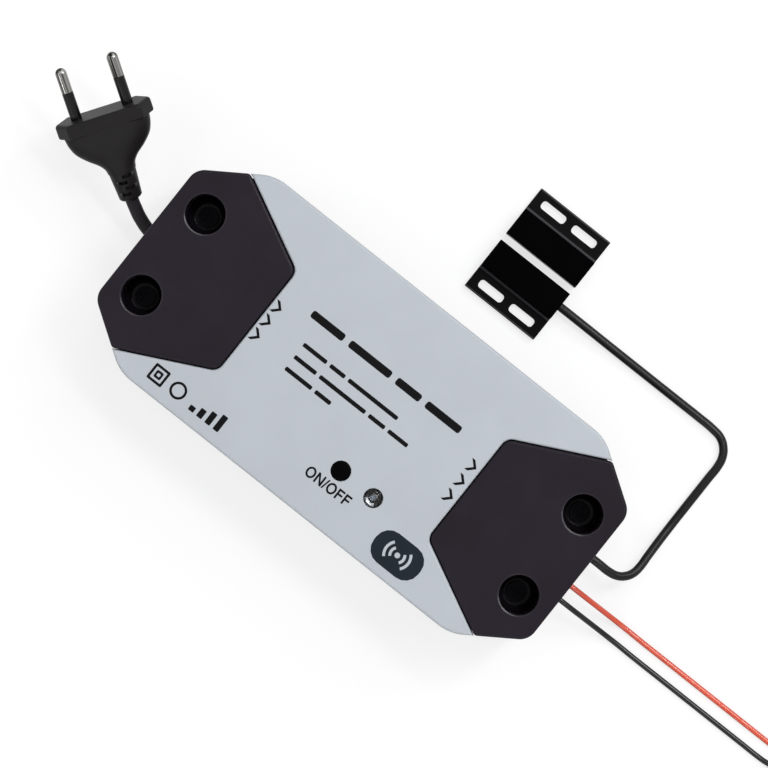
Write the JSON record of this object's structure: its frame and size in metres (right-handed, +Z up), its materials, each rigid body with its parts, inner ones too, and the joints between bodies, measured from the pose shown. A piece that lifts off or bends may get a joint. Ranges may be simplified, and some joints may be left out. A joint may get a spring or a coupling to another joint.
{
  "type": "garage door controller",
  "caption": "Flat switch box with a slant-cornered cover, dark end caps, a push button, a plug lead, a wired reed sensor with its magnet, and output wires.",
  "frame": {"origin": "middle of the underside of the case, on the surface that it stands on", "axes": "+X along the case from the mains side to the output side, +Y towards the sensor pair, +Z up"},
  "size_m": [0.3828, 0.1424, 0.0449],
  "materials": {
    "tray_charcoal": "moulded, fine grain",
    "cover_grey": "satin moulded",
    "cap_charcoal": "satin moulded",
    "screw_steel": "zinc plated",
    "screw_black": "black oxide",
    "button_black": "satin",
    "switch_black": "moulded",
    "plunger_red": "moulded",
    "lens_clear": "clear, smoky",
    "led_clear": "clear epoxy",
    "board_green": "solder mask",
    "terminal_green": "moulded",
    "relay_blue": "moulded",
    "ferrite": "sintered",
    "winding_yellow": "tape",
    "capacitor_blue": "sleeve",
    "capacitor_yellow": "moulded",
    "fuse_brown": "moulded",
    "varistor_blue": "epoxy dip",
    "board_blue": "solder mask",
    "shield_steel": "tinned",
    "core_brown": "insulation",
    "core_white": "insulation",
    "cable_black": "smooth sheath",
    "plug_black": "moulded",
    "pin_nickel": "nickel plated",
    "sleeve_black": "moulded",
    "sensor_black": "moulded",
    "capsule_glass": "clear",
    "potting_black": "poured resin",
    "magnet_metal": "nickel plated",
    "wire_red": "smooth insulation",
    "wire_black": "smooth insulation",
    "tie_black": "moulded strap",
    "tip_tin": "tinned copper"
  },
  "bodies": {
    "case": {"base_tray": "tray_charcoal", "top_cover": "cover_grey", "input_end_cap": "cap_charcoal", "output_end_cap": "cap_charcoal", "cap_screws": "screw_black", "case_screws": "screw_steel", "tact_switch": "switch_black", "indicator_lens": "lens_clear", "status_led": "led_clear", "led_spacer": "switch_black", "circuit_board": "board_green", "board_screws": "screw_steel", "input_terminal": "terminal_green", "output_terminal": "terminal_green", "terminal_screws": "screw_steel", "relay": "relay_blue", "transformer_core": "ferrite", "transformer_winding": "winding_yellow", "rectifier": "switch_black", "bulk_capacitor": "capacitor_blue", "filter_capacitor": "capacitor_yellow", "fuse": "fuse_brown", "varistor": "varistor_blue", "wireless_board": "board_blue", "wireless_shield": "shield_steel", "mains_clamp": "switch_black", "output_clamp": "switch_black", "clamp_screws": "screw_steel", "mains_cores": "core_brown", "sensor_cores": "core_white", "mains_lead": "cable_black", "plug_body": "plug_black", "plug_pins": "pin_nickel", "pin_sleeves": "sleeve_black", "sensor_cable": "cable_black", "reed_housing": "sensor_black", "reed_capsule": "capsule_glass", "reed_potting": "potting_black", "red_wire": "wire_red", "black_wire": "wire_black", "red_coil": "wire_red", "black_coil": "wire_black", "coil_tie": "tie_black", "wire_tips": "tip_tin"},
    "button": {"button_cap": "button_black", "tact_plunger": "plunger_red"},
    "magnet": {"magnet_housing": "sensor_black", "bar_magnet": "magnet_metal", "magnet_potting": "potting_black"}
  },
  "joints": [
    {"name": "button_press", "type": "slide", "parent": "case", "child": "button", "axis": [0, 0, -1], "range_m": [0, 0.0005], "stiffness_N_per_m": 400, "springref_m": -0.002},
    {"name": "magnet_slide", "type": "slide", "parent": "case", "child": "magnet", "axis": [0, 1, 0], "range_m": [0, 0.04]}
  ]
}
